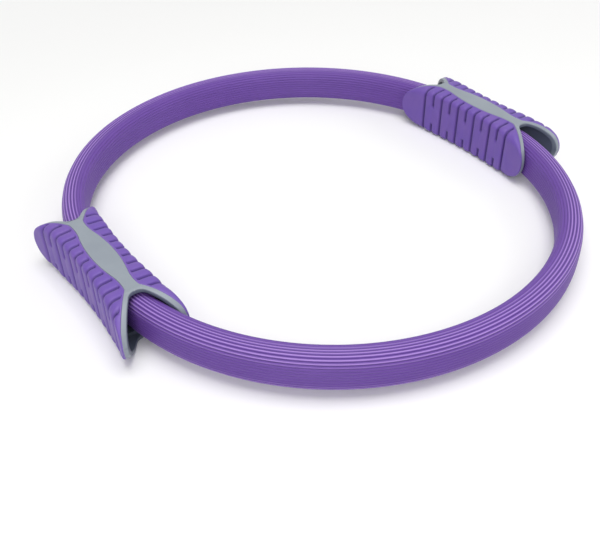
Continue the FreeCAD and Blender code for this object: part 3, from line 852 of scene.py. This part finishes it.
# sizes in metres; the floor fades to white between the two distances from the middle
stage = {"floor": (0.95, 0.95, 0.94, 1), "rough": 0.9, "specular": 0.1, "size": 8.0, "fade": (0.35, 0.9)}


def seenRays(nodes, links):
    # 1 for what the camera sees, straight or in a mirror or glass
    path = addNode(nodes, "LightPath").outputs
    total = path["Is Camera Ray"]
    for name in ("Is Glossy Ray", "Is Transmission Ray"):
        adder = addNode(nodes, "Math", operation="MAXIMUM")
        links.new(total, adder.inputs[0])
        links.new(path[name], adder.inputs[1])
        total = adder.outputs[0]
    return total


def makeFloor():
    size = stage["size"] / 2
    corners = np.array([[-size, -size], [size, -size], [size, size], [-size, size]])
    heights = np.full((4, 1), cadBox[0][2])
    mesh = bpy.data.meshes.new("floor")
    mesh.from_pydata(np.hstack([corners, heights]).tolist(), [], [(0, 1, 2, 3)])
    material, nodes, links, shader = newMaterial("paleFloor")
    shader.inputs["Base Color"].default_value = stage["floor"]
    shader.inputs["Roughness"].default_value = stage["rough"]
    shader.inputs["Specular IOR Level"].default_value = stage["specular"]
    # away from the ring the floor is plain white to the eye, and lights nothing by it
    distance = addNode(nodes, "VectorMath", operation="LENGTH")
    links.new(addNode(nodes, "TexCoord").outputs["Object"], distance.inputs[0])
    fade = addNode(nodes, "Math", operation="MULTIPLY")
    away = spread(nodes, links, distance.outputs["Value"], 0.0, 1.0, *stage["fade"])
    links.new(away, fade.inputs[0])
    links.new(seenRays(nodes, links), fade.inputs[1])
    white = addNode(nodes, "Emission")
    mix = addNode(nodes, "MixShader")
    links.new(fade.outputs[0], mix.inputs[0])
    links.new(shader.outputs[0], mix.inputs[1])
    links.new(white.outputs[0], mix.inputs[2])
    links.new(mix.outputs[0], nodes["Material Output"].inputs["Surface"])
    mesh.materials.append(material)
    floor = bpy.data.objects.new("floor", mesh)
    bpy.context.scene.collection.objects.link(floor)


def axesMatrix(right, up, back, place):
    matrix = np.eye(4)
    matrix[:3, 0], matrix[:3, 1], matrix[:3, 2], matrix[:3, 3] = right, up, back, place
    return Matrix(matrix.tolist())


# Lamps: place, size and watts, each looking at the middle of the ring
lamps = {
    "overhead": {"place": (-0.15, -0.15, 1.6), "size": 1.3, "watts": 17.0},
    "front": {"place": (-0.80, -0.90, 0.85), "size": 0.9, "watts": 6.5},
    "right": {"place": (1.5, -0.8, 1.0), "size": 1.2, "watts": 6.0},
}
ambient = 0.36      # what the white surroundings give as light


def makeLight():
    for name, lamp in lamps.items():
        light = bpy.data.lights.new(name, "AREA")
        light.shape = "DISK"
        light.size = lamp["size"]
        light.energy = lamp["watts"]
        holder = bpy.data.objects.new(name, light)
        back = np.array(lamp["place"]) / np.linalg.norm(lamp["place"])
        right = np.cross((0, 0, 1), back)
        right /= np.linalg.norm(right)
        holder.matrix_world = axesMatrix(right, np.cross(back, right), back, lamp["place"])
        bpy.context.scene.collection.objects.link(holder)
    world = bpy.data.worlds.new("studio")
    world.use_nodes = True
    nodes, links = world.node_tree.nodes, world.node_tree.links
    nodes["Background"].inputs["Color"].default_value = (1, 1, 1, 1)
    strength = spread(nodes, links, seenRays(nodes, links), ambient, 1.0)
    links.new(strength, nodes["Background"].inputs["Strength"])
    bpy.context.scene.world = world


# The photograph's view, in degrees, millimetres and pixels of a 600 by 537 image
view = {"azimuth": 36.79, "elevation": 33.17, "distance": 587.4, "focal": 788.9, "imageWide": 600,
        "sensor": 36.0, "pan": 1.17, "tilt": 5.64, "roll": -0.02}


def makeCamera():
    # The camera stands at the view's angles, is tilted and panned off the ring's middle, then rolled.
    azimuth, elevation, pan, tilt, roll = (math.radians(view[name])
                                           for name in ("azimuth", "elevation", "pan", "tilt", "roll"))
    ahead = np.array([math.sin(azimuth), math.cos(azimuth), 0])
    side = np.array([math.cos(azimuth), -math.sin(azimuth), 0])
    high = np.array([0, 0, 1.0])
    place = (high * math.sin(elevation) - ahead * math.cos(elevation)) * view["distance"] * mm
    back = high * math.sin(elevation + tilt) - ahead * math.cos(elevation + tilt)
    up = np.cross(back, side)
    panBack = back * math.cos(pan) + side * math.sin(pan)
    panSide = side * math.cos(pan) - back * math.sin(pan)
    right = panSide * math.cos(roll) + up * math.sin(roll)
    top = up * math.cos(roll) - panSide * math.sin(roll)
    data = bpy.data.cameras.new("photoView")
    data.sensor_width = view["sensor"]
    data.lens = view["focal"] / view["imageWide"] * data.sensor_width
    camera = bpy.data.objects.new("photoView", data)
    camera.matrix_world = axesMatrix(right, top, panBack, place)
    bpy.context.scene.collection.objects.link(camera)
    bpy.context.scene.camera = camera


makeFloor()
makeLight()
makeCamera()
bpy.context.scene.view_settings.view_transform = "Standard"
print("stage: floor, lamps and camera")
